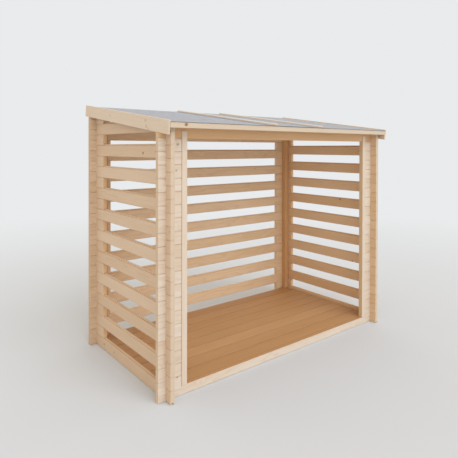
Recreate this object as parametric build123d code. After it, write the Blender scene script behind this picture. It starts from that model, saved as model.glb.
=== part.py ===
# Log store: an open-fronted, slatted shelter of notched logs that cross at the corners,
# under a single-slope felted roof.
#
# Frame: the origin is the centre of the footprint of the whole store at ground level, +Z is up,
# +X runs along the width to the right and the open front faces -Y. Millimetres.
import math
import os

from build123d import *

# Walls: the logs are flat boards with a tongue and a groove, laid on edge
wall_width = 2024.0  # over the outer faces of the side walls
wall_depth = 1030.0  # over the outer faces of the front and back walls
log_height = 78.0  # one course, without the tongue
log_thickness = 28.0
log_chamfer = 3.5
tongue_height = 8.0
tongue_width = 9.0
groove_clearance = 0.5
cross_log_projection = 50.0  # how far the front and back logs run past the side walls
side_log_projection = 54.0  # and how far the side logs run past the front and back walls
side_courses = 20  # full courses below the course that the roof cuts at the front
roof_rise_courses = 1.82  # how far the back wall stands above the front wall, in courses
notch_clearance = 0.2
cut_margin = 1.0  # how far a cutting shape runs past the face that it opens

# Short logs that keep the slats apart and fill the corners, from the outer face of the crossing wall.
# They come in two lengths: at the back left corner the long ones are in the side wall, at the back
# right corner they are in the back wall.
short_block_reach = 112.0
long_block_reach = 152.0
front_stub_reach = 107.0
gable_tip_height = 8.0  # the thin end of the wedge log is sawn off here

# Frame of the open front
jamb_width = 38.0
jamb_proud = 6.0  # how far the jambs stand in front of the logs
jamb_lap = 46.0  # how far their face runs up over the header
sill_height = 57.0  # of the sill between the jambs; its ends are half a course high

# Posts and floor
post_side = 45.0
bearer_width = 60.0
bearer_count = 4
floor_board_width = 118.0
floor_board_gap = 3.0
floor_clearance = 3.0

# Roof
front_overhang = 100.0  # past the outer face of the front wall, along the slope
back_overhang = 76.0
verge_overhang = 28.0  # from a side wall's outer face to the inside of its bargeboard
deck_thickness = 18.0
deck_board_width = 112.0
deck_groove = 3.0
felt_thickness = 2.5
felt_drip = 3.0  # past the fascias, front and back
bargeboard_height = 83.0
bargeboard_thickness = 14.0
bargeboard_lip = 7.0  # how far the bargeboards stand above the felt
fascia_height = 34.0
fascia_thickness = 16.0
batten_width = 30.0
batten_thickness = 13.0
batten_offset = 225.0  # each batten's centre, from the middle of the roof

# Worked out from the sizes above
half_course = log_height / 2
quarter_course = log_height / 4
half_width = wall_width / 2
roof_rise = roof_rise_courses * log_height
slope = math.atan2(roof_rise, wall_depth)
header_bottom = (side_courses - 1) * log_height + half_course
front_wall_height = header_bottom + log_height + tongue_height
back_wall_height = front_wall_height + roof_rise
deck_top = deck_thickness
felt_top = deck_top + felt_thickness
bargeboard_top = felt_top + bargeboard_lip
bargeboard_bottom = bargeboard_top - bargeboard_height
roof_length = wall_depth / math.cos(slope) + front_overhang + back_overhang

# The roof's ends are sawn square to its slope, so the felt's drip edge leads at the front and
# the bargeboards' bottom corners at the back; the origin is midway between the two
front_reach = (front_overhang + felt_drip) * math.cos(slope) + felt_top * math.sin(slope)
back_reach = back_overhang * math.cos(slope) - bargeboard_bottom * math.sin(slope)
front_face = (front_reach - back_reach - wall_depth) / 2
back_face = front_face + wall_depth

stub_end = half_width - front_stub_reach  # where the stub logs stop, from the middle


def save(name, solids):
    """Write one node; pieces in a list share it."""
    shape = Compound(label=name, children=list(solids)) if isinstance(solids, list) else solids
    export_step(shape, os.path.join("parts", name + ".step"))


def block(x0, x1, y0, y1, z0, z1):
    """A plain box between two corners."""
    return Pos((x0 + x1) / 2, (y0 + y1) / 2, (z0 + z1) / 2) * Box(x1 - x0, y1 - y0, z1 - z0)


def roof_point(along, above):
    """(y, z) of a point that far up the slope from the front wall's face, above the deck's underside."""
    y = front_face + along * math.cos(slope) - above * math.sin(slope)
    z = front_wall_height + along * math.sin(slope) + above * math.cos(slope)
    return y, z


def roof_prism(x0, x1, along0, along1, above0, above1):
    """A board on the roof's slope, with its ends sawn square to the slope."""
    corners = [(along0, above0), (along1, above0), (along1, above1), (along0, above1)]
    outline = Polygon(*[roof_point(a, h) for a, h in corners], align=None)
    return Pos(x0, 0, 0) * extrude(Plane.YZ * outline, amount=x1 - x0)


def log_outline(height, grooved=True, tongued=True):
    """Section of a log, (across, up) from the middle of its underside."""
    side = log_thickness / 2
    tongue = tongue_width / 2
    groove = tongue + groove_clearance
    right = [(side, log_chamfer), (side, height - log_chamfer), (side - log_chamfer, height)]
    right.insert(0, (side - log_chamfer, 0))
    if grooved:
        right = [(groove, tongue_height + groove_clearance), (groove, 0)] + right
    if tongued:
        right += [(tongue, height), (tongue, height + tongue_height)]
    left = [(-across, up) for across, up in reversed(right)]
    return right + left


def notch(centre, z0, z1):
    """What a crossing log takes out of a log along X."""
    reach = log_thickness / 2 + notch_clearance
    return block(centre - reach, centre + reach, -log_thickness, log_thickness, z0, z1)


def log_along_x(x0, x1, height, crossings, grooved=True, tongued=True, cut_under=True):
    """A log on the X axis, its underside at z=0, let into a crossing log at each centre given."""
    outline = Polygon(*log_outline(height, grooved, tongued), align=None)
    log = Pos(x0, 0, 0) * extrude(Plane.YZ * outline, amount=x1 - x0)
    for centre in crossings:
        log -= notch(centre, height - quarter_course, height + tongue_height + cut_margin)
        if cut_under:
            log -= notch(centre, -cut_margin, quarter_course)
    return log


def cross_logs(x0, x1, y_centre, crossings, courses):
    """Like logs of the front or back wall, one in each of the courses given."""
    log = log_along_x(x0, x1, log_height, crossings)
    return [Pos(0, y_centre, half_course + course * log_height) * log for course in courses]


def side_logs(side, y0, y1, crossings, courses):
    """Like logs of a side wall: side is -1 for the left wall and 1 for the right one."""
    log = Rot(0, 0, 90) * log_along_x(y0, y1, log_height, crossings)
    x_centre = side * (half_width - log_thickness / 2)
    return [Pos(x_centre, 0, course * log_height) * log for course in courses]


left_crossing = -(half_width - log_thickness / 2)
right_crossing = -left_crossing
front_crossing = front_face + log_thickness / 2
back_crossing = back_face - log_thickness / 2
left_end = -(half_width + cross_log_projection)
right_end = -left_end
front_end = front_face - side_log_projection
back_end = back_face + side_log_projection
left_verge = -(half_width + verge_overhang)
right_verge = -left_verge

# The last course of the side walls, a wedge that starts where the roof clears the course below
wedge_course = side_courses + 2

# Everything above the deck's underside, taken off the logs and posts that reach the roof
above_roof = roof_prism(2 * left_end, 2 * right_end, -roof_length, 2 * roof_length, 0, back_wall_height)


def beside_roof(side):
    """The room of a bargeboard and all outside and above it, taken off the ends of the top logs."""
    x0, x1 = sorted((side * right_verge, 2 * side * right_end))
    return roof_prism(x0, x1, -roof_length, 2 * roof_length, bargeboard_bottom, back_wall_height)


def wall_slats(side):
    """Full-length logs of a side wall, one course in two; the roof cuts the top one."""
    courses = range(0, side_courses + 1, 2)
    slats = side_logs(side, front_end, back_end, [front_crossing, back_crossing], courses)
    slats[-1] -= above_roof
    return slats


def wall_blocks(side):
    """Short logs at both corners of a side wall, in the courses between its slats."""
    front_courses = range(1, side_courses, 2)
    back_courses = range(1, wedge_course, 2)
    back_block = long_block_reach if side < 0 else short_block_reach
    front = side_logs(side, front_end, front_face + short_block_reach, [front_crossing], front_courses)
    back = side_logs(side, back_face - back_block, back_end, [back_crossing], back_courses)
    return front + back


def gable_wedge(side):
    """The tapered log under the roof at the back of a side wall."""
    tip_top = wedge_course * log_height + gable_tip_height
    start = front_face + (tip_top - front_wall_height) / math.tan(slope)
    return side_logs(side, start, back_end, [back_crossing], [wedge_course])[0] - above_roof


def back_slats():
    """Full-length logs of the back wall, one course in two, set half a course off the side walls."""
    courses = range(1, side_courses, 2)
    return cross_logs(left_end, right_end, back_crossing, [left_crossing, right_crossing], courses)


def back_blocks():
    """Short logs at both corners of the back wall, in the courses between its slats."""
    courses = range(0, wedge_course, 2)
    left_edge = short_block_reach - half_width
    right_edge = half_width - long_block_reach
    left = cross_logs(left_end, left_edge, back_crossing, [left_crossing], courses)
    right = cross_logs(right_edge, right_end, back_crossing, [right_crossing], courses)
    return left + right


def front_stubs(side, first):
    """Every second short log beside the opening, from the course given."""
    ends = (left_end, -stub_end) if side < 0 else (stub_end, right_end)
    crossing = left_crossing if side < 0 else right_crossing
    return cross_logs(*ends, front_crossing, [crossing], range(first, side_courses - 1, 2))


def half_log(y_centre):
    """The ripped log on the ground that starts the front and back walls half a course high."""
    crossings = [left_crossing, right_crossing]
    log = log_along_x(left_end, right_end, half_course, crossings, grooved=False, cut_under=False)
    return Pos(0, y_centre, 0) * log


def front_sill():
    """The front half log, left higher and flat between the stub logs."""
    raised = block(-stub_end, stub_end, front_face, front_face + log_thickness, log_chamfer, sill_height)
    return half_log(front_crossing) + raised


def top_log(y_centre, z):
    """A log that carries the roof, bevelled to its slope, its ends cut to pass the bargeboards."""
    height = 2 * log_height  # tall enough for the bevel to cut
    log = log_along_x(left_end, right_end, height, [])
    for centre in (left_crossing, right_crossing):
        log -= notch(centre, -cut_margin, quarter_course)
        log -= notch(centre, log_height - quarter_course, height + tongue_height + cut_margin)
    log = Pos(0, y_centre, z) * log - above_roof
    return log - beside_roof(-1) - beside_roof(1)


def jamb(side):
    """The post that closes the stub logs' ends; its face laps over the header."""
    ends = sorted((side * (stub_end - jamb_width), side * stub_end))
    face = front_face - jamb_proud
    post = block(*ends, face, front_face + log_thickness, sill_height, header_bottom)
    return post + block(*ends, face, front_face, header_bottom - cut_margin, header_bottom + jamb_lap)


def corner_post(side, y0):
    """A square post in an inner corner, its head sawn to the slope."""
    outer = half_width - log_thickness
    ends = sorted((side * outer, side * (outer - post_side)))
    post = block(*ends, y0, y0 + post_side, sill_height, back_wall_height + log_height)
    return post - above_roof


def floor_boards():
    """Boards across the width, evenly spaced between the sill and the back wall."""
    start = front_face + log_thickness + floor_clearance
    end = back_face - log_thickness - floor_clearance
    reach = half_width - log_thickness - floor_clearance
    count = round((end - start + floor_board_gap) / (floor_board_width + floor_board_gap))
    pitch = (end - start + floor_board_gap) / count
    boards = []
    for index in range(count):
        y0 = start + index * pitch
        y1 = y0 + pitch - floor_board_gap
        boards.append(block(-reach, reach, y0, y1, half_course, sill_height))
    return boards


def floor_bearers():
    """Timbers on the ground under the floor, front to back."""
    y0 = front_face + log_thickness + floor_clearance
    y1 = back_face - log_thickness - floor_clearance
    outer = half_width - log_thickness - floor_clearance - bearer_width / 2
    bearers = []
    for index in range(bearer_count):
        centre = -outer + 2 * outer * index / (bearer_count - 1)
        x0 = centre - bearer_width / 2
        bearers.append(block(x0, x0 + bearer_width, y0, y1, 0, half_course))
    return bearers


def roof_deck():
    """The boarded deck, with the V-joints of its boards open on the underside."""
    start = fascia_thickness - front_overhang
    end = roof_length - front_overhang - fascia_thickness
    deck = roof_prism(left_verge, right_verge, start, end, 0, deck_top)
    outline = [(-deck_groove, -cut_margin), (deck_groove, -cut_margin), (0, deck_groove)]
    groove = extrude(Plane.XZ * Polygon(*outline, align=None), amount=-roof_length)
    groove = Pos(0, *roof_point(-front_overhang, 0)) * Rot(math.degrees(slope), 0, 0) * groove
    count = round((right_verge - left_verge) / deck_board_width)
    pitch = (right_verge - left_verge) / count
    for index in range(1, count):
        deck -= Pos(left_verge + index * pitch, 0, 0) * groove
    return deck


def fascia(along):
    """A board over the deck's ends, front or back, below the felt."""
    bottom = deck_top - fascia_height
    return roof_prism(left_verge, right_verge, along, along + fascia_thickness, bottom, deck_top)


def bargeboard(side):
    x0, x1 = sorted((side * right_verge, side * (right_verge + bargeboard_thickness)))
    start = -front_overhang
    return roof_prism(x0, x1, start, start + roof_length, bargeboard_bottom, bargeboard_top)


def roof_batten(side):
    x0 = side * batten_offset - batten_width / 2
    start = -front_overhang
    top = felt_top + batten_thickness
    return roof_prism(x0, x0 + batten_width, start, start + roof_length, felt_top, top)


def main():
    os.makedirs("parts", exist_ok=True)
    save("front_sill_log", front_sill())
    save("back_sill_log", half_log(back_crossing))
    save("back_wall_slats", back_slats())
    save("back_wall_corner_blocks", back_blocks())
    save("front_header_log", top_log(front_crossing, header_bottom))
    save("back_top_log", top_log(back_crossing, header_bottom + 2 * log_height))
    for side, name in ((-1, "left"), (1, "right")):
        save(name + "_wall_slats", wall_slats(side))
        save(name + "_wall_corner_blocks", wall_blocks(side))
        save(name + "_gable_wedge_log", gable_wedge(side))
        save("front_" + name + "_stub_logs_a", front_stubs(side, 0))
        save("front_" + name + "_stub_logs_b", front_stubs(side, 1))
        save(name + "_jamb", jamb(side))
        save("front_" + name + "_corner_post", corner_post(side, front_face + log_thickness))
        save("back_" + name + "_corner_post", corner_post(side, back_face - log_thickness - post_side))
        save(name + "_bargeboard", bargeboard(side))
        save(name + "_roof_batten", roof_batten(side))
    save("floor_boards", floor_boards())
    save("floor_bearers", floor_bearers())
    save("roof_deck", roof_deck())
    save("front_fascia", fascia(-front_overhang))
    save("back_fascia", fascia(roof_length - front_overhang - fascia_thickness))
    felt_start = -front_overhang - felt_drip
    felt_end = roof_length - front_overhang + felt_drip
    save("roofing_felt", roof_prism(left_verge, right_verge, felt_start, felt_end, deck_top, felt_top))


if __name__ == "__main__":
    main()
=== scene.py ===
# Looks of the log store: planed spruce logs and boards, speckled roofing felt, nails and screws.
import math

import bmesh
import bpy
from bpy.props import FloatProperty, FloatVectorProperty, IntProperty, PointerProperty
from mathutils import Euler, Matrix, Vector


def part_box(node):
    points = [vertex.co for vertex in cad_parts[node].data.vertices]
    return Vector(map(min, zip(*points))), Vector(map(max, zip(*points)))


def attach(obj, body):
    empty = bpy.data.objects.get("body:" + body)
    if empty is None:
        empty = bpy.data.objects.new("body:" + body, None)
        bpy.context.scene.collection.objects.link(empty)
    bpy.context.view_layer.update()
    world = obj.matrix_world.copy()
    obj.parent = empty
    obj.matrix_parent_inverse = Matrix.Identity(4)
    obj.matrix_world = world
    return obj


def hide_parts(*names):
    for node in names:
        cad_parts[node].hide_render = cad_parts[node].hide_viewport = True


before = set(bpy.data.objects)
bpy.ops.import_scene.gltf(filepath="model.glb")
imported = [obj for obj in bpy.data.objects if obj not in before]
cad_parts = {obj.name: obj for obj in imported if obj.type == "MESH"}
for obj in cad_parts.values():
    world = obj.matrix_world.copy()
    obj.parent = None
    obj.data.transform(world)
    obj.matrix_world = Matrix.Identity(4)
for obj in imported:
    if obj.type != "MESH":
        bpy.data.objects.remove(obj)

bl_info = {
    "name": "Log store",
    "version": (1, 0, 0),
    "blender": (4, 5, 0),
    "location": "3D View > Sidebar > Log store",
    "description": "Finishes a log store of notched spruce boards: trim, floor, felt, fixings and stage",
    "category": "Object",
}

# The faces that the other pieces are set out from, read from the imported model
FRONT_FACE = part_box("front_sill_log")[0].y
BACK_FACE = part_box("back_sill_log")[1].y
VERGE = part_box("roof_deck")[1].x

# Turns that bring a board's grain to the X axis
ALONG_X = (0, 0, 0)
ALONG_Y = (0, 0, -math.pi / 2)
ALONG_Z = (0, math.pi / 2, 0)

# Cells that hold one board each: their axis, start and pitch, and how dark the joints between are
ONE_BOARD = (2, -10.0, 20.0, 0.0)
BEARERS = (1, -2.0, 0.3, 0.0)

# How dark the dust and painted shade in the joints between boards are drawn, and up to what distance from a
# joint
LOG_SHADE = 0.1
BLOCK_SHADE = 0.22
DECK_SHADE = 0.3
FLOOR_SHADE = 0.4
GROOVE_REACH = 0.0038  # a chamfer's width and a little more

# Shares of the summerwood's colour, and the share of the end grain's on sawn ends
RING_SHARE = 0.15
FIBRE_SHARE = 0.17
END_RING_SHARE = 0.3
SAWN_SHARE = 0.85
RING_WIDTH = 0.006  # real rings are 2 to 4 mm wide, drawn wider so that they still show

# Sawn ends nearer the middle than the first two are inside; past the third they stand outside
INSIDE_X = 1.02
INSIDE_Y = 0.45
OUTSIDE_X = 1.014

# Knots with a place of their own: centre, radius and depth of colour
SIDE_KNOTS = [((0, 0.006, 1.482), 0.012, 0.25), ((0, -0.385, 1.442), 0.008, 0.5)]
BLOCK_KNOTS = [((-0.931, FRONT_FACE, 1.486), 0.012, 0.6), ((-0.941, FRONT_FACE, 1.333), 0.009, 0.5)]
BARGE_KNOTS = [((-1.054, -0.338, 1.63), 0.013, 0.35), ((-1.054, -0.348, 1.594), 0.014, 0.35),
               ((-1.054, -0.374, 1.578), 0.011, 0.3), ((-1.054, 0.165, 1.686), 0.012, 0.3)]
FASCIA_KNOTS = [((-0.937, -0.604, 1.598), 0.013, 1.0)]

# Boards: how many times the arris their edges are eased by, and the cover of a roof board
POST_EASING = 1.4
FLOOR_EASING = 1.5
ROOF_EASING = 1.6
ROOF_BOARD = 0.112
POST_SPARE = 0.05  # length left on a post until its head is sawn off

# Felt: how far the outer strips run on past the battens' centres, and the rounding of its edges
FELT_UNDERLAP = 0.04
FELT_ARRIS = 0.0004

# Felt nails: spacing, and distances from the verges, the front and back edges and a lap's edge
CLOUT_SPACING = 0.1
CLOUT_TO_VERGE = 0.03
CLOUT_TO_EDGE = 0.02
LAP_CLOUT_TO_EDGE = 0.07
CLOUT_TO_LAP = 0.011

# Other fixings: distances from the ends of what they hold, and heights on bargeboards and fascias
BATTEN_GAPS = 4
BATTEN_MARGIN = 0.04
BARGE_HEIGHTS = (0.006, -0.012)
FASCIA_GAPS = 6
FASCIA_MARGIN = 0.05
FASCIA_HEIGHT = 0.008
BEARER_GAPS = 3
BEARER_MARGIN = 0.03
SCREW_PLACES = (0.25, 0.75)  # shares of a floor board's width

# Heads: heights, the taper up to the rim, and a screw's dished drive as shares of its head
CLOUT_HEAD = 0.001
BATTEN_NAIL_HEAD = 0.0008
FLAT_HEAD = 0.0006
HEAD_TAPER = 0.8
DRIVE_RIM = 0.35
DRIVE_DEPTH = 0.7

# Stage: tints of the sky and the lamps, and a floor that fades out between two distances
SKY_TINT = (1.0, 0.92, 0.81)
LAMP_TINT = (0.93, 0.985, 1.08)
STAGE_RADIUS = 30.0
STAGE_DROP = 0.0005  # keeps the floor clear of the bottom logs' undersides
STAGE_FADE = (2.2, 7.5)


def linear(hex_colour):
    """The linear colour of an sRGB hex value such as "#E3D0BA"."""
    channels = [int(hex_colour[start:start + 2], 16) / 255 for start in (1, 3, 5)]
    return [c / 12.92 if c <= 0.04045 else ((c + 0.055) / 1.055) ** 2.4 for c in channels]


def colour_property(name, hex_colour, description):
    """A colour that the user can change, with an sRGB hex value as its default."""
    return FloatVectorProperty(
        name=name, description=description, default=linear(hex_colour), subtype="COLOR", min=0, max=1)


def length_property(name, metres, description):
    """A length that the user can change, in metres."""
    return FloatProperty(name=name, description=description, default=metres, min=0, unit="LENGTH")


def angle_property(name, degrees, description):
    """An angle that the user can change; its default is given in degrees."""
    return FloatProperty(name=name, description=description, default=math.radians(degrees), subtype="ANGLE")


def strength_property(name, strength, description):
    """The strength of a light that the user can change."""
    return FloatProperty(name=name, description=description, default=strength, min=0)


class LogStoreSizes(bpy.types.PropertyGroup):
    """Sizes that the pieces made here are set out by."""
    course: length_property("Course", 0.078, "Height that each log adds to a wall")
    roof_rise: length_property("Roof rise", 0.14196, "How far the back wall stands above the front wall")
    wall_top: length_property("Front wall height", 1.607, "Underside of the deck at the front wall")
    front_overhang: length_property("Front overhang", 0.1, "Roof past the front wall, along the slope")
    back_overhang: length_property("Back overhang", 0.076, "Roof past the back wall, along the slope")
    deck: length_property("Deck", 0.018, "Thickness of the roof boards")
    felt: length_property("Felt", 0.0025, "Thickness of the roofing felt where it laps")
    felt_drip: length_property("Felt drip", 0.003, "How far the felt runs past the fascias")
    felt_step: length_property("Felt step", 0.0012, "Step at the edge of the felt's upper strip")
    felt_lap: length_property("Felt lap", 0.037, "From a batten's centre to the upper strip's edge")
    barge_height: length_property("Bargeboard height", 0.083, "Height of a bargeboard, square to the slope")
    barge_thickness: length_property("Bargeboard thickness", 0.014, "Thickness of a bargeboard")
    barge_lip: length_property("Bargeboard lip", 0.007, "How far a bargeboard stands above the felt")
    fascia_height: length_property("Fascia height", 0.034, "Height of a fascia")
    fascia_thickness: length_property("Fascia thickness", 0.016, "Thickness of a fascia")
    batten_offset: length_property("Batten offset", 0.225, "Centre of a batten from the middle of the roof")
    batten_width: length_property("Batten width", 0.03, "Width of a roof batten")
    batten_thickness: length_property("Batten thickness", 0.013, "Thickness of a roof batten")
    jamb_lap: length_property("Jamb lap", 0.046, "How far a jamb's face runs up over the header")
    floor_gap: length_property("Floor gap", 0.003, "Gap between two floor boards")
    floor_boards: IntProperty(
        name="Floor boards", description="Number of floor boards", default=8, min=1)
    arris: length_property("Arris", 0.0018, "Least rounding of a board's edges, which each kind multiplies")
    jamb_arris: length_property("Jamb arris", 0.0035, "Rounding of the jambs' edges")
    clout_radius: length_property("Clout nail radius", 0.0045, "Radius of a felt nail's flat head")
    nail_radius: length_property("Nail radius", 0.0017, "Radius of a board nail's head")
    screw_radius: length_property("Screw radius", 0.0038, "Radius of a countersunk screw's head")


class LogStoreColours(bpy.types.PropertyGroup):
    """Colours of the finishes."""
    front_pale: colour_property("Front, pale", "#E4D9CB", "Palest planed wood of the front logs and jambs")
    front_tan: colour_property("Front, tan", "#DAC6AE", "Darkest planed wood of the front logs and jambs")
    # Painted shade: the header and the posts take a darker, warmer copy of the front logs' wood, for the
    # shade under the eave and inside the store
    header_pale: colour_property("Header, pale", "#E1BC92", "Palest planed wood of the header and posts")
    header_tan: colour_property("Header, tan", "#D2A775", "Darkest planed wood of the header and posts")
    # Painted light: the back wall's wood is paler and warmer than the front logs', for the warm light
    # bounced round inside the store
    back_pale: colour_property("Back logs, pale", "#EDD5B6", "Palest planed wood of the back wall")
    back_tan: colour_property("Back logs, tan", "#E2C5A0", "Darkest planed wood of the back wall")
    # Painted shade: the side walls take warmer copies of the front logs' wood, for faces turned from the
    # key light and the shade inside; the deck shares the left wall's
    left_pale: colour_property("Left logs, pale", "#E3CBB1", "Palest wood of the left wall and the deck")
    left_tan: colour_property("Left logs, tan", "#D6B999", "Darkest wood of the left wall and the deck")
    right_pale: colour_property("Right logs, pale", "#E8CDAC", "Palest planed wood of the right wall")
    right_tan: colour_property("Right logs, tan", "#DBB98F", "Darkest planed wood of the right wall")
    trim_pale: colour_property("Trim, pale", "#E9DAC7", "Palest planed wood of the bargeboards")
    trim_tan: colour_property("Trim, tan", "#DEC9AF", "Darkest planed wood of the bargeboards")
    fascia_pale: colour_property("Fascia, pale", "#DFD0BC", "Palest planed wood of the fascias")
    fascia_tan: colour_property("Fascia, tan", "#D5C0A4", "Darkest planed wood of the fascias")
    batten_pale: colour_property("Battens, pale", "#F0E7DC", "Palest planed wood of the roof battens")
    batten_tan: colour_property("Battens, tan", "#E6D8C6", "Darkest planed wood of the roof battens")
    # Partly painted shade: the floor and bearers are drawn darker than the rest of the wood, for the shade
    # under the roof
    floor_pale: colour_property("Floor, pale", "#CBA072", "Palest wood of the floor and bearers")
    floor_tan: colour_property("Floor, tan", "#B48757", "Darkest wood of the floor and bearers")
    summerwood: colour_property("Summerwood", "#B98A5C", "Dense dark part of each growth ring")
    knot: colour_property("Knot", "#8C5830", "Heart of a knot")
    # Dust and painted shade in the grooves between logs and boards
    dust_and_shade_groove: colour_property("Groove", "#8F6A45", "Dusty wood in the grooves between two logs")
    sawn_side: colour_property("Sawn end, sides", "#D7C7B3", "End grain of logs that run front to back")
    sawn_across: colour_property("Sawn end, across", "#DDC2A2", "End grain of logs that run across")
    # Painted shade: end grain inside the store takes a warmer colour, for the warm shade there
    sawn_inner_shade: colour_property("Sawn end, inside", "#E2BE93", "End grain that lies inside the store")
    # Painted shade on the sill's upper face, which lies in the roof's shade
    sill_top_shade: colour_property("Sill, top", "#BE9263", "The sill's upper face, trodden and shaded")
    # Painted shade on the jambs' sides, which look into the shaded opening
    jamb_side_shade: colour_property("Jambs, sides", "#DFC39E", "Faces of the jambs that look into the opening")
    # Painted shade on the back wall's ends past the side walls, which stand in the walls' shade
    corner_shade: colour_property("Back corners", "#EDECEF", "Dulls the back wall's ends past the sides")
    felt_ground: colour_property("Felt ground", "#A9ADB7", "Mineral felt between its grains")
    felt_light: colour_property("Felt light grain", "#D3D5DA", "Palest mineral grains")
    felt_dark: colour_property("Felt dark grain", "#80858F", "Darkest mineral grains")
    bitumen: colour_property("Bitumen", "#34343A", "Cut edge of the felt")
    zinc: colour_property("Zinc", "#B4B7B9", "Galvanised nails and screws")
    stage_floor: colour_property("Stage floor", "#D3D8DE", "Studio floor under the store")
    backdrop: colour_property("Backdrop", "#E9EBEC", "What the camera sees behind the store")


class LogStoreStage(bpy.types.PropertyGroup):
    """Camera and light."""
    camera_place: FloatVectorProperty(
        name="Camera", description="Where the camera stands", default=(-2.376, -2.798, 1.464),
        unit="LENGTH")
    camera_turn: angle_property("Camera turn", 38.56, "From straight ahead to the right")
    camera_tilt: angle_property("Camera tilt", -0.49, "Upwards from level")
    camera_roll: angle_property("Camera roll", -0.12, "About the line of sight")
    lens: FloatProperty(name="Lens", description="Focal length in millimetres", default=36.14)
    rise: FloatProperty(name="Rise", description="Vertical shift of the lens", default=-0.1678)
    key: strength_property("Key", 1.02, "Strength of the soft light from the front")
    fill: strength_property("Fill", 0.38, "Strength of the low light into the opening")
    sky: strength_property("Sky", 0.88, "Strength of the even light all round")


def with_alpha(colour):
    """The four numbers that a colour socket takes; a link stays as it is."""
    return colour if isinstance(colour, bpy.types.NodeSocket) else (*colour, 1.0)


def add(tree, kind, settings, inputs):
    """Add a node with its settings; each input takes a value, or a link where an output is given."""
    node = tree.nodes.new(kind)
    for name, value in settings.items():
        setattr(node, name, value)
    for name, value in inputs.items():
        if isinstance(value, bpy.types.NodeSocket):
            tree.links.new(value, node.inputs[name])
        else:
            node.inputs[name].default_value = value
    return node


def calculate(tree, operation, *values, clamp=False):
    """A sum with one to three numbers; clamp holds its result between 0 and 1."""
    settings = {"operation": operation, "use_clamp": clamp}
    return add(tree, "ShaderNodeMath", settings, dict(enumerate(values))).outputs[0]


def combine(tree, operation, *vectors):
    """A sum with one to three vectors; LENGTH gives a number."""
    node = add(tree, "ShaderNodeVectorMath", {"operation": operation}, dict(enumerate(vectors)))
    return node.outputs["Value" if operation == "LENGTH" else "Vector"]


def ramp(tree, value, low, high, to_low=0.0, to_high=1.0, shape="LINEAR"):
    """A number that goes from to_low to to_high while value goes from low to high."""
    ends = {"Value": value, "From Min": low, "From Max": high, "To Min": to_low, "To Max": to_high}
    return add(tree, "ShaderNodeMapRange", {"interpolation_type": shape}, ends).outputs[0]


def lay_over(tree, share, under, over, way="MIX"):
    """One colour laid over another by a share from 0 to 1."""
    settings = {"data_type": "RGBA", "blend_type": way}
    colours = {0: share, 6: with_alpha(under), 7: with_alpha(over)}
    return add(tree, "ShaderNodeMix", settings, colours).outputs[2]


def parts_of(tree, vector):
    """The X, Y and Z of a vector."""
    return add(tree, "ShaderNodeSeparateXYZ", {}, {"Vector": vector}).outputs


def channels_of(tree, colour):
    """The three channels of a random colour, as three random numbers."""
    return add(tree, "ShaderNodeSeparateColor", {}, {"Color": colour}).outputs


def streaks(tree, vector, per_metre, detail):
    """Noise drawn out along an axis; per_metre is how many lumps a metre has along each."""
    place = add(tree, "ShaderNodeMapping", {}, {"Vector": vector, "Scale": per_metre})
    noise = {"Vector": place.outputs[0], "Scale": 1.0, "Detail": detail}
    return add(tree, "ShaderNodeTexNoise", {}, noise).outputs["Fac"]


def square_to(tree, part):
    """1 on faces square to an axis, from that part of their normal, and 0 on the others."""
    return ramp(tree, calculate(tree, "ABSOLUTE", part), 0.7, 0.9)


def new_material(name):
    """An empty material and its node tree."""
    material = bpy.data.materials.new(name)
    material.use_nodes = True
    material.node_tree.nodes.clear()
    return material, material.node_tree


def finish_material(tree, inputs):
    """The surface shader with its inputs, and the material's output."""
    shader = add(tree, "ShaderNodeBsdfPrincipled", {}, inputs)
    add(tree, "ShaderNodeOutputMaterial", {}, {"Surface": shader.outputs[0]})


def draw_lots(tree, local, courses, parts, seed):
    """A random colour for each board, by its course and by its end and side of the store.

    The factors 3.1 and 5.3 only keep the marks of the two sides apart.
    """
    end_mark = calculate(tree, "MULTIPLY_ADD", calculate(tree, "SIGN", local[0]), parts[0] * 3.1, seed)
    wall_mark = calculate(tree, "MULTIPLY", calculate(tree, "SIGN", local[1]), parts[1] * 5.3)
    marks = {"X": end_mark, "Y": wall_mark, "Z": calculate(tree, "FLOOR", courses)}
    board = add(tree, "ShaderNodeCombineXYZ", {}, marks)
    chance = add(tree, "ShaderNodeTexWhiteNoise", {"noise_dimensions": "3D"}, {"Vector": board.outputs[0]})
    return chance.outputs["Color"]


def grow_knots(tree, own, turned, turn, knots_at):
    """Knots up to 25 mm across, and how far, up to 12 mm, they push the rings aside.

    They run through the board, so they depend on length and height alone. About one cell in four has
    one, with 6.5 cells to the metre. The knots in knots_at are a quarter longer than they are high.
    """
    face = combine(tree, "MULTIPLY", own, (1.0, 0.0, 1.0))
    spots = add(tree, "ShaderNodeTexVoronoi", {"voronoi_dimensions": "3D"},
                {"Vector": face, "Scale": 6.5, "Randomness": 1.0}).outputs
    reach = ramp(tree, channels_of(tree, spots["Color"])[0], 0.72, 1.0, 0.0, 0.085)
    depth = calculate(tree, "SUBTRACT", reach, spots["Distance"])
    knot = ramp(tree, depth, -0.012, 0.02, shape="SMOOTHSTEP")
    for centre, radius, strength in knots_at:
        middle = Euler(turn).to_matrix() @ Vector(centre)
        flat = combine(
            tree, "MULTIPLY_ADD", turned, (0.8, 0.0, 1.0), (-0.8 * middle.x, 0.0, -middle.z))
        away = combine(tree, "LENGTH", flat)
        placed = ramp(tree, away, radius, radius * 0.35, 0.0, strength, "SMOOTHSTEP")
        knot = calculate(tree, "MAXIMUM", knot, placed)
    return knot, ramp(tree, depth, -0.3, 0.0, 0.0, 0.012, "SMOOTHSTEP")


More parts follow.
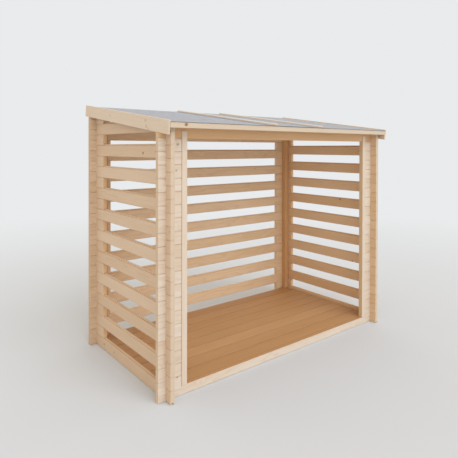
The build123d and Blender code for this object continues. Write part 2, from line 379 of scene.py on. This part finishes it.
def grow_rings(tree, own, height, through, lots, swirl):
    """Summerwood lines: distance from a pith that lies up to 80 mm off, pushed about by slow noise.

    height and through are a point's place in its board's cross section.
    """
    pith_up = calculate(tree, "MULTIPLY_ADD", lots[0], 0.16, -0.08)
    pith_in = calculate(tree, "MULTIPLY_ADD", lots[1], 0.07, -0.035)
    section = {"X": calculate(tree, "SUBTRACT", height, pith_up),
               "Y": calculate(tree, "ADD", through, pith_in)}
    radius = combine(tree, "LENGTH", add(tree, "ShaderNodeCombineXYZ", {}, section).outputs[0])
    drift = streaks(tree, own, (1.6, 9.0, 9.0), 3.0)
    bent = calculate(tree, "ADD", calculate(tree, "MULTIPLY_ADD", drift, 0.034, radius), swirl)
    ring = calculate(tree, "FRACT", calculate(tree, "DIVIDE", bent, RING_WIDTH))
    late = add(tree, "ShaderNodeFloatCurve", {}, {"Value": ring})
    curve = late.mapping.curves[0]
    curve.points[0].location = (0.0, 0.05)
    curve.points[1].location = (1.0, 0.1)
    curve.points.new(0.55, 0.2)
    curve.points.new(0.86, 1.0)
    late.mapping.update()
    return late.outputs[0]


def planed_spruce(name, tones, turn, cells, parts, seed, knots_at=(), painted_shade=None, shaded_ends=False):
    """Planed spruce: pale wood with honey summerwood lines, fine fibres, a few small brown knots.

    tones are the palest and the darkest planed wood, and the end grain. turn brings the grain to the X
    axis, the board's thickness to Y and its height to Z. cells is the axis, start and pitch of the
    courses, Z in a wall and Y where boards lie side by side, and how dark the dust and painted shade in
    the joints between them are.
    parts says which of (X, Y) tell two boards of a course apart by their sign, and seed makes one kind
    of board unlike the next. knots_at gives the centre, radius and depth of colour of knots that have a
    place of their own. The next argument is an axis, and a colour of painted shade for the faces square
    to it. The last one darkens the ends that stand out past the side walls with painted shade.
    """
    colours = bpy.context.scene.log_store_colours
    pale, tan, sawn_end = tones
    axis, start, pitch, shade = cells
    material, tree = new_material(name)
    place = add(tree, "ShaderNodeTexCoord", {}, {}).outputs
    turned = add(tree, "ShaderNodeMapping", {}, {"Vector": place["Object"], "Rotation": turn}).outputs[0]
    local = parts_of(tree, turned)
    courses = calculate(tree, "DIVIDE", calculate(tree, "SUBTRACT", local[axis], start), pitch)
    chance = draw_lots(tree, local, courses, parts, seed)
    lots = channels_of(tree, chance)

    # Each log was sawn from its own place in a trunk, so the pattern starts elsewhere in each
    own = combine(tree, "ADD", turned, combine(tree, "MULTIPLY", chance, (7.0, 3.0, 5.0)))
    knot, swirl = grow_knots(tree, own, turned, turn, knots_at)
    height = calculate(tree, "MULTIPLY_ADD", calculate(tree, "FRACT", courses), pitch, -pitch / 2)
    through = calculate(tree, "PINGPONG", local[3 - axis], 0.5)
    late = grow_rings(tree, own, height, through, lots, swirl)

    # Fibres are streaks about 160 mm long and 3 mm wide; patches of warmer wood are slower
    fibre = streaks(tree, own, (6.0, 330.0, 330.0), 4.0)
    patch = streaks(tree, own, (2.2, 14.0, 14.0), 2.0)

    # Sawn ends: the faces whose normal lies along the grain
    facing = add(tree, "ShaderNodeMapping", {"vector_type": "NORMAL"},
                 {"Vector": place["Normal"], "Rotation": turn})
    sawn = square_to(tree, parts_of(tree, facing.outputs[0])[0])
    sawn_share = calculate(tree, "MULTIPLY", sawn, SAWN_SHARE)

    # Tone of this log and of its patches in equal parts, then rings and fibres
    lot_tone = calculate(tree, "MULTIPLY", lots[2], 0.6)
    tone = calculate(tree, "MULTIPLY_ADD", patch, 0.6, lot_tone, clamp=True)
    wood = lay_over(tree, calculate(tree, "SUBTRACT", tone, 0.2, clamp=True), pale, tan)
    # Painted shade: faces square to one axis take a colour of their own, for the shade that falls on them
    if painted_shade:
        face, shade_colour = painted_shade
        wood = lay_over(tree, square_to(tree, parts_of(tree, place["Normal"])[face]), wood, shade_colour)
    wood = lay_over(tree, calculate(tree, "MULTIPLY", late, RING_SHARE), wood, colours.summerwood)
    wood = lay_over(tree, ramp(tree, fibre, 0.48, 0.75, 0.0, FIBRE_SHARE), wood, colours.summerwood)

    # Sawn ends, with a warmer colour inside the store as painted shade, and the rings showing again
    reach = parts_of(tree, combine(tree, "ABSOLUTE", place["Object"]))
    inside = calculate(tree, "MULTIPLY", calculate(tree, "LESS_THAN", reach[0], INSIDE_X),
                       calculate(tree, "LESS_THAN", reach[1], INSIDE_Y))
    wood = lay_over(tree, sawn_share, wood, lay_over(tree, inside, sawn_end, colours.sawn_inner_shade))
    # Painted shade: the ends past the side walls are dulled, for the shade of the walls
    if shaded_ends:
        outside = calculate(tree, "GREATER_THAN", reach[0], OUTSIDE_X)
        wood = lay_over(tree, outside, wood, colours.corner_shade, "MULTIPLY")
    end_rings = calculate(tree, "MULTIPLY", calculate(tree, "MULTIPLY", late, sawn), END_RING_SHARE)
    wood = lay_over(tree, end_rings, wood, colours.summerwood)

    # Knots on the planed faces, then dust and painted shade where two boards meet
    planed = calculate(tree, "SUBTRACT", SAWN_SHARE, sawn_share)
    wood = lay_over(tree, calculate(tree, "MULTIPLY", knot, planed), wood, colours.knot)
    from_joint = calculate(tree, "PINGPONG", courses, 0.5)
    groove_edge = GROOVE_REACH / pitch
    dust_and_shade_groove = ramp(tree, from_joint, groove_edge, 0.2 * groove_edge, 0.0, shade, "SMOOTHSTEP")
    wood = lay_over(tree, dust_and_shade_groove, wood, colours.dust_and_shade_groove)

    # Planed faces have a low sheen, which the fibres break up; sawn ends are rougher
    rough = ramp(tree, fibre, 0.3, 0.7, 0.52, 0.68)
    rough = calculate(tree, "MULTIPLY_ADD", sawn, 0.2, rough, clamp=True)
    relief = calculate(tree, "MULTIPLY_ADD", late, 0.4, fibre)
    bump = add(tree, "ShaderNodeBump", {}, {"Height": relief, "Strength": 0.35, "Distance": 0.0006})
    finish_material(tree, {"Base Color": wood, "Roughness": rough, "Normal": bump.outputs[0],
                           "Specular IOR Level": 0.32})
    return material


def mineral_felt():
    """Bitumen felt rolled with mineral grit: pale blue-grey, speckled, dull, with black cut edges."""
    colours = bpy.context.scene.log_store_colours
    material, tree = new_material("mineral_surfaced_bitumen_felt")
    place = add(tree, "ShaderNodeTexCoord", {}, {}).outputs
    # Grit of 1 mm, drawn 4 mm wide so that it still shows
    grit = add(tree, "ShaderNodeTexVoronoi", {}, {"Vector": place["Object"], "Scale": 260.0}).outputs
    lots = channels_of(tree, grit["Color"])
    cloud = add(tree, "ShaderNodeTexNoise", {}, {"Vector": place["Object"], "Scale": 9.0, "Detail": 4.0})
    worn = ramp(tree, cloud.outputs["Fac"], 0.4, 0.7, 0.0, 0.22)
    edge = ramp(tree, parts_of(tree, place["Normal"])[2], 0.85, 0.55, 0.0, 0.9)
    felt = lay_over(tree, ramp(tree, lots[0], 0.55, 1.0, 0.0, 0.8), colours.felt_ground, colours.felt_light)
    felt = lay_over(tree, ramp(tree, lots[1], 0.7, 1.0, 0.0, 0.75), felt, colours.felt_dark)
    felt = lay_over(tree, worn, felt, colours.felt_dark)
    felt = lay_over(tree, edge, felt, colours.bitumen)
    bump = add(tree, "ShaderNodeBump", {},
               {"Height": grit["Distance"], "Strength": 0.5, "Distance": 0.0012})
    finish_material(tree, {"Base Color": felt, "Roughness": ramp(tree, lots[2], 0.0, 1.0, 0.8, 0.97),
                           "Normal": bump.outputs[0], "Specular IOR Level": 0.3})
    return material


def galvanised_steel():
    """Hot-dip galvanised steel: dull grey zinc in small crystals, for nail and screw heads."""
    colours = bpy.context.scene.log_store_colours
    material, tree = new_material("galvanised_steel_fixings")
    place = add(tree, "ShaderNodeTexCoord", {}, {})
    crystals = add(tree, "ShaderNodeTexVoronoi", {}, {"Vector": place.outputs["Object"], "Scale": 900.0})
    lots = channels_of(tree, crystals.outputs["Color"])
    dull = [channel * 0.6 for channel in colours.zinc]
    zinc = lay_over(tree, calculate(tree, "MULTIPLY", lots[0], 0.35), colours.zinc, dull)
    finish_material(tree, {"Base Color": zinc, "Roughness": ramp(tree, lots[1], 0.0, 1.0, 0.38, 0.58),
                           "Metallic": 1.0})
    return material


def wood_tones(kind, sawn):
    """The palest and the darkest wood of a kind, and the end grain that goes with it."""
    colours = bpy.context.scene.log_store_colours
    return getattr(colours, kind + "_pale"), getattr(colours, kind + "_tan"), getattr(colours, sawn)


def spaced(start, end, gaps):
    """Places from start to end, with that many equal gaps between them."""
    return [start + index * (end - start) / gaps for index in range(gaps + 1)]


def roof_slope():
    """Slope of the roof, from its rise over the depth of the walls."""
    return math.atan2(bpy.context.scene.log_store_sizes.roof_rise, BACK_FACE - FRONT_FACE)


def roof_place():
    """Turns (x, up the slope from the front wall, above the deck's underside) into a place on the roof."""
    top = bpy.context.scene.log_store_sizes.wall_top
    return Matrix.Translation((0, FRONT_FACE, top)) @ Matrix.Rotation(roof_slope(), 4, "X")


def roof_ends():
    """The roof's front and back edges, up the slope from the front wall."""
    sizes = bpy.context.scene.log_store_sizes
    length = (BACK_FACE - FRONT_FACE) / math.cos(roof_slope())
    return -sizes.front_overhang, length + sizes.back_overhang


def floor_pitch():
    """From one floor board to the next."""
    sizes = bpy.context.scene.log_store_sizes
    low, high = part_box("floor_boards")
    return (high.y - low.y + sizes.floor_gap) / sizes.floor_boards


def add_board(mesh, low, high, arris, place=None):
    """Add a board between two corners with its arrises eased."""
    low, high = Vector(low), Vector(high)
    shape = Matrix.Translation((low + high) / 2) @ Matrix.Diagonal((*(high - low), 1.0))
    made = bmesh.ops.create_cube(mesh, size=1.0, matrix=(place or Matrix()) @ shape)
    edges = list({edge for vert in made["verts"] for edge in vert.link_edges})
    ease(mesh, edges, arris, 2)


def ease(mesh, edges, arris, segments):
    """Round some edges off."""
    bmesh.ops.bevel(mesh, geom=edges, offset=arris, offset_type="OFFSET", segments=segments, profile=0.5,
                    affect="EDGES", material=-1, clamp_overlap=True)


def add_head(mesh, point, normal, radius, height, dished=False):
    """Add the head of a nail, or of a countersunk screw with its dished drive, on a face."""
    normal = Vector(normal)
    place = Matrix.Translation(Vector(point) + normal * height / 2)
    place = place @ normal.to_track_quat("Z", "Y").to_matrix().to_4x4()
    made = bmesh.ops.create_cone(mesh, cap_ends=True, segments=10, radius1=radius,
                                 radius2=radius * HEAD_TAPER, depth=height, matrix=place)
    if dished:
        caps = {face for vert in made["verts"] for face in vert.link_faces if len(face.verts) > 4}
        top = max(caps, key=lambda face: face.calc_center_median().dot(normal))
        bmesh.ops.inset_individual(mesh, faces=[top], thickness=radius * DRIVE_RIM,
                                   depth=-height * DRIVE_DEPTH)


def add_object(name, mesh, material):
    """Make the mesh an object of the scene, with one material."""
    bmesh.ops.recalc_face_normals(mesh, faces=mesh.faces)
    data = bpy.data.meshes.new(name)
    mesh.to_mesh(data)
    mesh.free()
    data.materials.append(material)
    made = bpy.data.objects.new(name, data)
    bpy.context.scene.collection.objects.link(made)
    return made


def finish_piece(name, mesh, material, nodes=()):
    """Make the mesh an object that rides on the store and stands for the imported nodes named."""
    piece = add_object(name, mesh, material)
    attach(piece, "root")
    if nodes:
        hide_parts(*nodes)


def finish_node(name, material):
    """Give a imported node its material; its shape stays as it is."""
    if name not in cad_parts:
        raise RuntimeError("the packed model has no node named " + name)
    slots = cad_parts[name].data.materials
    slots.clear()
    slots.append(material)


class LOGSTORE_OT_stage(bpy.types.Operator):
    """Set the camera, a pale floor and backdrop, and soft light from the front and all round"""
    bl_idname = "log_store.stage"
    bl_label = "Stage"

    def execute(self, context):
        stage = context.scene.log_store_stage
        colours = context.scene.log_store_colours
        self.place_camera(context, stage)
        self.hang_lamp(context, "soft_front_key", stage.key, 50, (42, 0, 6))
        self.hang_lamp(context, "low_front_fill", stage.fill, 70, (80, 0, -8))
        self.light_world(context, stage, colours)
        context.scene.view_settings.view_transform = "Standard"

        mesh = bmesh.new()
        bmesh.ops.create_circle(mesh, cap_ends=True, segments=96, radius=STAGE_RADIUS,
                                matrix=Matrix.Translation((0, 0, -STAGE_DROP)))
        floor = add_object("studio_floor", mesh, self.floor_material(colours))
        return {"FINISHED"}

    def place_camera(self, context, stage):
        """Stand the camera where the photograph was taken from."""
        camera = bpy.data.cameras.new("photo_view")
        camera.sensor_width = 36.0
        camera.lens = stage.lens
        camera.shift_y = stage.rise
        viewer = bpy.data.objects.new("photo_view", camera)
        viewer.location = stage.camera_place
        turn = Matrix.Rotation(-stage.camera_turn, 4, "Z")
        tilt = Matrix.Rotation(math.pi / 2 + stage.camera_tilt, 4, "X")
        roll = Matrix.Rotation(-stage.camera_roll, 4, "Z")
        viewer.rotation_euler = (turn @ tilt @ roll).to_euler()
        context.scene.collection.objects.link(viewer)
        context.scene.camera = viewer

    def hang_lamp(self, context, name, strength, spread, turn):
        """A far lamp; its spread and its turn from straight down are in degrees."""
        light = bpy.data.lights.new(name, "SUN")
        light.energy = strength
        light.color = LAMP_TINT
        light.angle = math.radians(spread)
        lamp = bpy.data.objects.new(name, light)
        lamp.rotation_euler = Euler([math.radians(angle) for angle in turn])
        context.scene.collection.objects.link(lamp)

    def light_world(self, context, stage, colours):
        """Warm even light all round, while the camera and reflections see the pale backdrop."""
        world = bpy.data.worlds.new("even_studio_light")
        world.use_nodes = True
        tree = world.node_tree
        tree.nodes.clear()
        rays = add(tree, "ShaderNodeLightPath", {}, {}).outputs
        glossy = calculate(tree, "MAXIMUM", rays["Is Camera Ray"], rays["Is Glossy Ray"])
        seen = calculate(tree, "MAXIMUM", glossy, rays["Is Transmission Ray"])
        light = add(tree, "ShaderNodeBackground", {},
                    {"Color": with_alpha(SKY_TINT), "Strength": stage.sky})
        shown = add(tree, "ShaderNodeBackground", {},
                    {"Color": with_alpha(colours.backdrop), "Strength": 1.0})
        mixed = add(tree, "ShaderNodeMixShader", {}, {0: seen, 1: light.outputs[0], 2: shown.outputs[0]})
        add(tree, "ShaderNodeOutputWorld", {}, {"Surface": mixed.outputs[0]})
        context.scene.world = world

    def floor_material(self, colours):
        """Matt painted studio floor that fades into the backdrop away from the store."""
        material, tree = new_material("matt_painted_studio_floor")
        place = add(tree, "ShaderNodeTexCoord", {}, {})
        far = combine(tree, "LENGTH", place.outputs["Object"])
        fade = ramp(tree, far, *STAGE_FADE, shape="SMOOTHSTEP")
        paint = add(tree, "ShaderNodeBsdfDiffuse", {}, {"Color": with_alpha(colours.stage_floor)})
        glow = add(tree, "ShaderNodeEmission", {}, {"Color": with_alpha(colours.backdrop), "Strength": 1.0})
        mixed = add(tree, "ShaderNodeMixShader", {}, {0: fade, 1: paint.outputs[0], 2: glow.outputs[0]})
        add(tree, "ShaderNodeOutputMaterial", {}, {"Surface": mixed.outputs[0]})
        return material


class LOGSTORE_OT_wall_logs(bpy.types.Operator):
    """Finish the notched logs of the four walls in planed spruce, each log with its own tone"""
    bl_idname = "log_store.wall_logs"
    bl_label = "Wall logs"

    def execute(self, context):
        colours = context.scene.log_store_colours
        course = context.scene.log_store_sizes.course
        # The front and back walls lie half a course off the side walls
        half = (2, course / 2, course, LOG_SHADE)
        half_block = (2, course / 2, course, BLOCK_SHADE)
        whole = (2, 0.0, course, LOG_SHADE)
        block = (2, 0.0, course, BLOCK_SHADE)

        front = wood_tones("front", "sawn_across")
        # The sill's upper face takes painted shade
        finish_node("front_sill_log", planed_spruce(
            "planed_spruce_front_logs", front, ALONG_X, ONE_BOARD, (0, 1), 1.7,
            painted_shade=(2, colours.sill_top_shade)))
        # The header takes the darker tones of painted shade
        finish_node("front_header_log", planed_spruce(
            "planed_spruce_header", wood_tones("header", "sawn_across"), ALONG_X, ONE_BOARD,
            (0, 1), 3.7))
        stub_wood = planed_spruce(
            "planed_spruce_front_blocks", front, ALONG_X, half_block, (1, 1), 4.3, BLOCK_KNOTS)

        # The back wall takes paler, warmer tones as painted light
        back = wood_tones("back", "sawn_across")
        back_wood = planed_spruce(
            "planed_spruce_back_logs", back, ALONG_X, half, (0, 1), 2.9, shaded_ends=True)
        for name in ("back_sill_log", "back_top_log", "back_wall_slats"):
            finish_node(name, back_wood)
        finish_node("back_wall_corner_blocks", planed_spruce(
            "planed_spruce_back_blocks", back, ALONG_X, half_block, (1, 1), 6.1, shaded_ends=True))

        for side in ("left", "right"):
            for run in ("_a", "_b"):
                finish_node("front_" + side + "_stub_logs" + run, stub_wood)
            # Each side wall takes its own warmer copy of the wood, as painted shade
            shade = wood_tones(side, "sawn_side")
            side_wood = planed_spruce(
                "planed_spruce_" + side + "_logs", shade, ALONG_Y, whole, (0, 1), 8.9, SIDE_KNOTS)
            finish_node(side + "_wall_slats", side_wood)
            finish_node(side + "_gable_wedge_log", side_wood)
            finish_node(side + "_wall_corner_blocks", planed_spruce(
                "planed_spruce_" + side + "_blocks", shade, ALONG_Y, block, (1, 1), 13.1))
        return {"FINISHED"}


class LOGSTORE_OT_posts(bpy.types.Operator):
    """Make the jambs with their lap over the header, and the posts in the inner corners"""
    bl_idname = "log_store.posts"
    bl_label = "Jambs and posts"

    def execute(self, context):
        sizes = context.scene.log_store_sizes
        colours = context.scene.log_store_colours
        # The jambs' sides take painted shade
        jamb_wood = planed_spruce("planed_spruce_jambs", wood_tones("front", "sawn_across"), ALONG_Z,
                                  ONE_BOARD, (0, 0), 21.3, painted_shade=(0, colours.jamb_side_shade))
        # The posts take the header's tones, with their painted shade
        post_wood = planed_spruce("planed_spruce_posts", wood_tones("header", "sawn_across"), ALONG_Z,
                                  ONE_BOARD, (0, 1), 27.9)
        for side in ("left", "right"):
            self.make_jamb(side, sizes, jamb_wood)
            for end in ("front", "back"):
                self.make_post(end + "_" + side + "_corner_post", sizes, post_wood)
        return {"FINISHED"}

    def make_jamb(self, side, sizes, material):
        """A post with a thin face board that runs up over the header."""
        low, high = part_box(side + "_jamb")
        shoulder = high.z - sizes.jamb_lap
        outline = [(low.y, low.z), (low.y, high.z), (FRONT_FACE, high.z), (FRONT_FACE, shoulder),
                   (high.y, shoulder), (high.y, low.z)]
        mesh = bmesh.new()
        face = mesh.faces.new([mesh.verts.new((low.x, y, z)) for y, z in outline])
        grown = bmesh.ops.extrude_face_region(mesh, geom=[face])
        moved = [item for item in grown["geom"] if isinstance(item, bmesh.types.BMVert)]
        bmesh.ops.translate(mesh, vec=(high.x - low.x, 0, 0), verts=moved)
        bmesh.ops.recalc_face_normals(mesh, faces=mesh.faces)
        front = [edge for edge in mesh.edges if all(abs(vert.co.y - low.y) < 1e-6 for vert in edge.verts)]
        ease(mesh, front, sizes.jamb_arris, 3)
        finish_piece(side + "_jamb_eased", mesh, material, [side + "_jamb"])

    def make_post(self, name, sizes, material):
        """A square post with eased arrises, its head sawn to the slope of the roof."""
        low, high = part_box(name)
        mesh = bmesh.new()
        add_board(mesh, low, (high.x, high.y, high.z + POST_SPARE), sizes.arris * POST_EASING)
        place = roof_place()
        up = place.to_3x3() @ Vector((0, 0, 1))
        cut = bmesh.ops.bisect_plane(mesh, geom=mesh.verts[:] + mesh.edges[:] + mesh.faces[:], dist=1e-6,
                                     plane_co=place.translation, plane_no=up, clear_outer=True)
        rim = [item for item in cut["geom_cut"] if isinstance(item, bmesh.types.BMEdge)]
        bmesh.ops.contextual_create(mesh, geom=rim)
        finish_piece(name + "_eased", mesh, material, [name])


class LOGSTORE_OT_roof_boards(bpy.types.Operator):
    """Make the bargeboards, fascias and roof battens, and finish the deck"""
    bl_idname = "log_store.roof_boards"
    bl_label = "Roof boards"

    def execute(self, context):
        sizes = context.scene.log_store_sizes
        front, back = roof_ends()
        up_slope = (-roof_slope(), 0, -math.pi / 2)
        across = (-roof_slope(), 0, 0)
        barge_wood = planed_spruce("planed_spruce_bargeboards", wood_tones("trim", "sawn_side"), up_slope,
                                   ONE_BOARD, (0, 1), 34.1, BARGE_KNOTS)
        fascia_wood = planed_spruce("planed_spruce_fascias", wood_tones("fascia", "sawn_across"), across,
                                    ONE_BOARD, (0, 1), 38.1, FASCIA_KNOTS)
        batten_wood = planed_spruce("planed_spruce_battens", wood_tones("batten", "sawn_side"), up_slope,
                                    ONE_BOARD, (0, 1), 41.7)
        board = 2 * VERGE / round(2 * VERGE / ROOF_BOARD)
        # The deck takes the left wall's tones, with their painted shade
        finish_node("roof_deck", planed_spruce(
            "planed_spruce_deck", wood_tones("left", "sawn_side"), up_slope,
            (1, -VERGE, board, DECK_SHADE), (0, 0), 47.7))

        felt_top = sizes.deck + sizes.felt
        barge_top = felt_top + sizes.barge_lip
        for side, name in ((-1, "left"), (1, "right")):
            near, far = sorted((side * VERGE, side * (VERGE + sizes.barge_thickness)))
            self.make_board(name + "_bargeboard", (near, front, barge_top - sizes.barge_height),
                            (far, back, barge_top), barge_wood, name + "_bargeboard")
            middle = side * sizes.batten_offset
            self.make_board(name + "_batten", (middle - sizes.batten_width / 2, front, felt_top),
                            (middle + sizes.batten_width / 2, back, felt_top + sizes.batten_thickness),
                            batten_wood, name + "_roof_batten")
        for name, start in (("front", front), ("back", back - sizes.fascia_thickness)):
            self.make_board(name + "_fascia", (-VERGE, start, sizes.deck - sizes.fascia_height),
                            (VERGE, start + sizes.fascia_thickness, sizes.deck),
                            fascia_wood, name + "_fascia")
        return {"FINISHED"}

    def make_board(self, name, low, high, material, node):
        """One board of the roof's trim, set out along the slope."""
        mesh = bmesh.new()
        add_board(mesh, low, high, bpy.context.scene.log_store_sizes.arris * ROOF_EASING, roof_place())
        finish_piece(name + "_eased", mesh, material, [node])


class LOGSTORE_OT_felt(bpy.types.Operator):
    """Lay the roofing felt in three strips, the middle one lapping over the others at the battens"""
    bl_idname = "log_store.felt"
    bl_label = "Roofing felt"

    def execute(self, context):
        sizes = context.scene.log_store_sizes
        under = sizes.batten_offset - FELT_UNDERLAP
        lap = sizes.batten_offset + sizes.felt_lap
        upper = sizes.deck + sizes.felt
        lower = upper - sizes.felt_step
        front, back = roof_ends()
        mesh = bmesh.new()
        for x0, x1, top in ((-VERGE, -under, lower), (under, VERGE, lower), (-lap, lap, upper)):
            add_board(mesh, (x0, front - sizes.felt_drip, sizes.deck), (x1, back + sizes.felt_drip, top),
                      FELT_ARRIS, roof_place())
        finish_piece("roofing_felt_strips", mesh, mineral_felt(), ["roofing_felt"])
        return {"FINISHED"}


class LOGSTORE_OT_floor(bpy.types.Operator):
    """Lay the floor boards and finish the bearers under them"""
    bl_idname = "log_store.floor"
    bl_label = "Floor"

    def execute(self, context):
        sizes = context.scene.log_store_sizes
        # Floor tones, drawn darker partly as painted shade
        shade = wood_tones("floor", "sawn_across")
        low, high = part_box("floor_boards")
        pitch = floor_pitch()
        wood = planed_spruce(
            "planed_spruce_floor", shade, ALONG_X, (1, low.y, pitch, FLOOR_SHADE), (0, 0), 52.9)
        finish_node("floor_bearers", planed_spruce(
            "sawn_spruce_bearers", shade, ALONG_Y, BEARERS, (0, 0), 57.7))
        mesh = bmesh.new()
        for board in range(sizes.floor_boards):
            start = low.y + board * pitch
            add_board(mesh, (low.x, start, low.z), (high.x, start + pitch - sizes.floor_gap, high.z),
                      sizes.arris * FLOOR_EASING)
        finish_piece("floor_boards_eased", mesh, wood, ["floor_boards"])
        return {"FINISHED"}


class LOGSTORE_OT_fixings(bpy.types.Operator):
    """Drive the felt nails, the nails of bargeboards, fascias and battens, and the floor screws"""
    bl_idname = "log_store.fixings"
    bl_label = "Nails and screws"

    def execute(self, context):
        sizes = context.scene.log_store_sizes
        zinc = galvanised_steel()
        self.nail_felt(sizes, zinc)
        self.nail_boards(sizes, zinc)
        self.screw_floor(sizes, zinc)
        return {"FINISHED"}

    def nail_felt(self, sizes, zinc):
        """Clout nails along the front and back edges and the laps."""
        place = roof_place()
        up = place.to_3x3() @ Vector((0, 0, 1))
        front, back = roof_ends()
        upper = sizes.deck + sizes.felt
        lap = sizes.batten_offset + sizes.felt_lap
        mesh = bmesh.new()
        side = VERGE - CLOUT_TO_VERGE
        for x in spaced(-side, side, round(2 * side / CLOUT_SPACING)):
            if abs(abs(x) - sizes.batten_offset) < sizes.batten_width / 2 + sizes.clout_radius:
                continue
            top = upper if abs(x) < lap else upper - sizes.felt_step
            for along in (front + CLOUT_TO_EDGE, back - CLOUT_TO_EDGE):
                add_head(mesh, place @ Vector((x, along, top)), up, sizes.clout_radius, CLOUT_HEAD)
        start, end = front + LAP_CLOUT_TO_EDGE, back - LAP_CLOUT_TO_EDGE
        for along in spaced(start, end, round((end - start) / CLOUT_SPACING)):
            for x in (CLOUT_TO_LAP - lap, lap - CLOUT_TO_LAP):
                add_head(mesh, place @ Vector((x, along, upper)), up, sizes.clout_radius, CLOUT_HEAD)
        finish_piece("felt_clout_nails", mesh, zinc)

    def nail_boards(self, sizes, zinc):
        """Nails through the battens, bargeboards and fascias."""
        place = roof_place()
        turned = place.to_3x3()
        front, back = roof_ends()
        batten_top = sizes.deck + sizes.felt + sizes.batten_thickness
        mesh = bmesh.new()
        for side in (-1, 1):
            for along in spaced(front + BATTEN_MARGIN, back - BATTEN_MARGIN, BATTEN_GAPS):
                point = place @ Vector((side * sizes.batten_offset, along, batten_top))
                add_head(mesh, point, turned @ Vector((0, 0, 1)), sizes.nail_radius, BATTEN_NAIL_HEAD)
                for above in BARGE_HEIGHTS:
                    point = place @ Vector((side * (VERGE + sizes.barge_thickness), along, above))
                    add_head(mesh, point, (side, 0, 0), sizes.nail_radius, FLAT_HEAD)
        for x in spaced(FASCIA_MARGIN - VERGE, VERGE - FASCIA_MARGIN, FASCIA_GAPS):
            for along, way in ((front, -1), (back, 1)):
                point = place @ Vector((x, along, FASCIA_HEIGHT))
                add_head(mesh, point, turned @ Vector((0, way, 0)), sizes.nail_radius, FLAT_HEAD)
        finish_piece("board_nails", mesh, zinc)

    def screw_floor(self, sizes, zinc):
        """Two countersunk screws through each floor board into each bearer."""
        low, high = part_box("floor_boards")
        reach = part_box("floor_bearers")[1].x - BEARER_MARGIN
        mesh = bmesh.new()
        for board in range(sizes.floor_boards):
            for x in spaced(-reach, reach, BEARER_GAPS):
                for share in SCREW_PLACES:
                    y = low.y + (board + share) * floor_pitch()
                    add_head(mesh, (x, y, high.z), (0, 0, 1), sizes.screw_radius, FLAT_HEAD, dished=True)
        finish_piece("floor_screws", mesh, zinc)


class LOGSTORE_PT_panel(bpy.types.Panel):
    """Steps that finish the log store"""
    bl_idname = "LOGSTORE_PT_panel"
    bl_label = "Log store"
    bl_space_type = "VIEW_3D"
    bl_region_type = "UI"
    bl_category = "Log store"

    def draw(self, context):
        for operator in OPERATORS:
            self.layout.operator(operator.bl_idname)


OPERATORS = (LOGSTORE_OT_stage, LOGSTORE_OT_wall_logs, LOGSTORE_OT_posts, LOGSTORE_OT_roof_boards,
             LOGSTORE_OT_felt, LOGSTORE_OT_floor, LOGSTORE_OT_fixings)
CLASSES = (LogStoreSizes, LogStoreColours, LogStoreStage, *OPERATORS, LOGSTORE_PT_panel)


def register():
    for kind in CLASSES:
        bpy.utils.register_class(kind)
    bpy.types.Scene.log_store_sizes = PointerProperty(type=LogStoreSizes)
    bpy.types.Scene.log_store_colours = PointerProperty(type=LogStoreColours)
    bpy.types.Scene.log_store_stage = PointerProperty(type=LogStoreStage)


def unregister():
    del bpy.types.Scene.log_store_stage
    del bpy.types.Scene.log_store_colours
    del bpy.types.Scene.log_store_sizes
    for kind in reversed(CLASSES):
        bpy.utils.unregister_class(kind)


def main():
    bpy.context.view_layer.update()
    register()
    bpy.ops.log_store.stage()
    bpy.ops.log_store.wall_logs()
    bpy.ops.log_store.posts()
    bpy.ops.log_store.roof_boards()
    bpy.ops.log_store.felt()
    bpy.ops.log_store.floor()
    bpy.ops.log_store.fixings()
    bpy.context.view_layer.update()


if __name__ == "__main__":
    main()
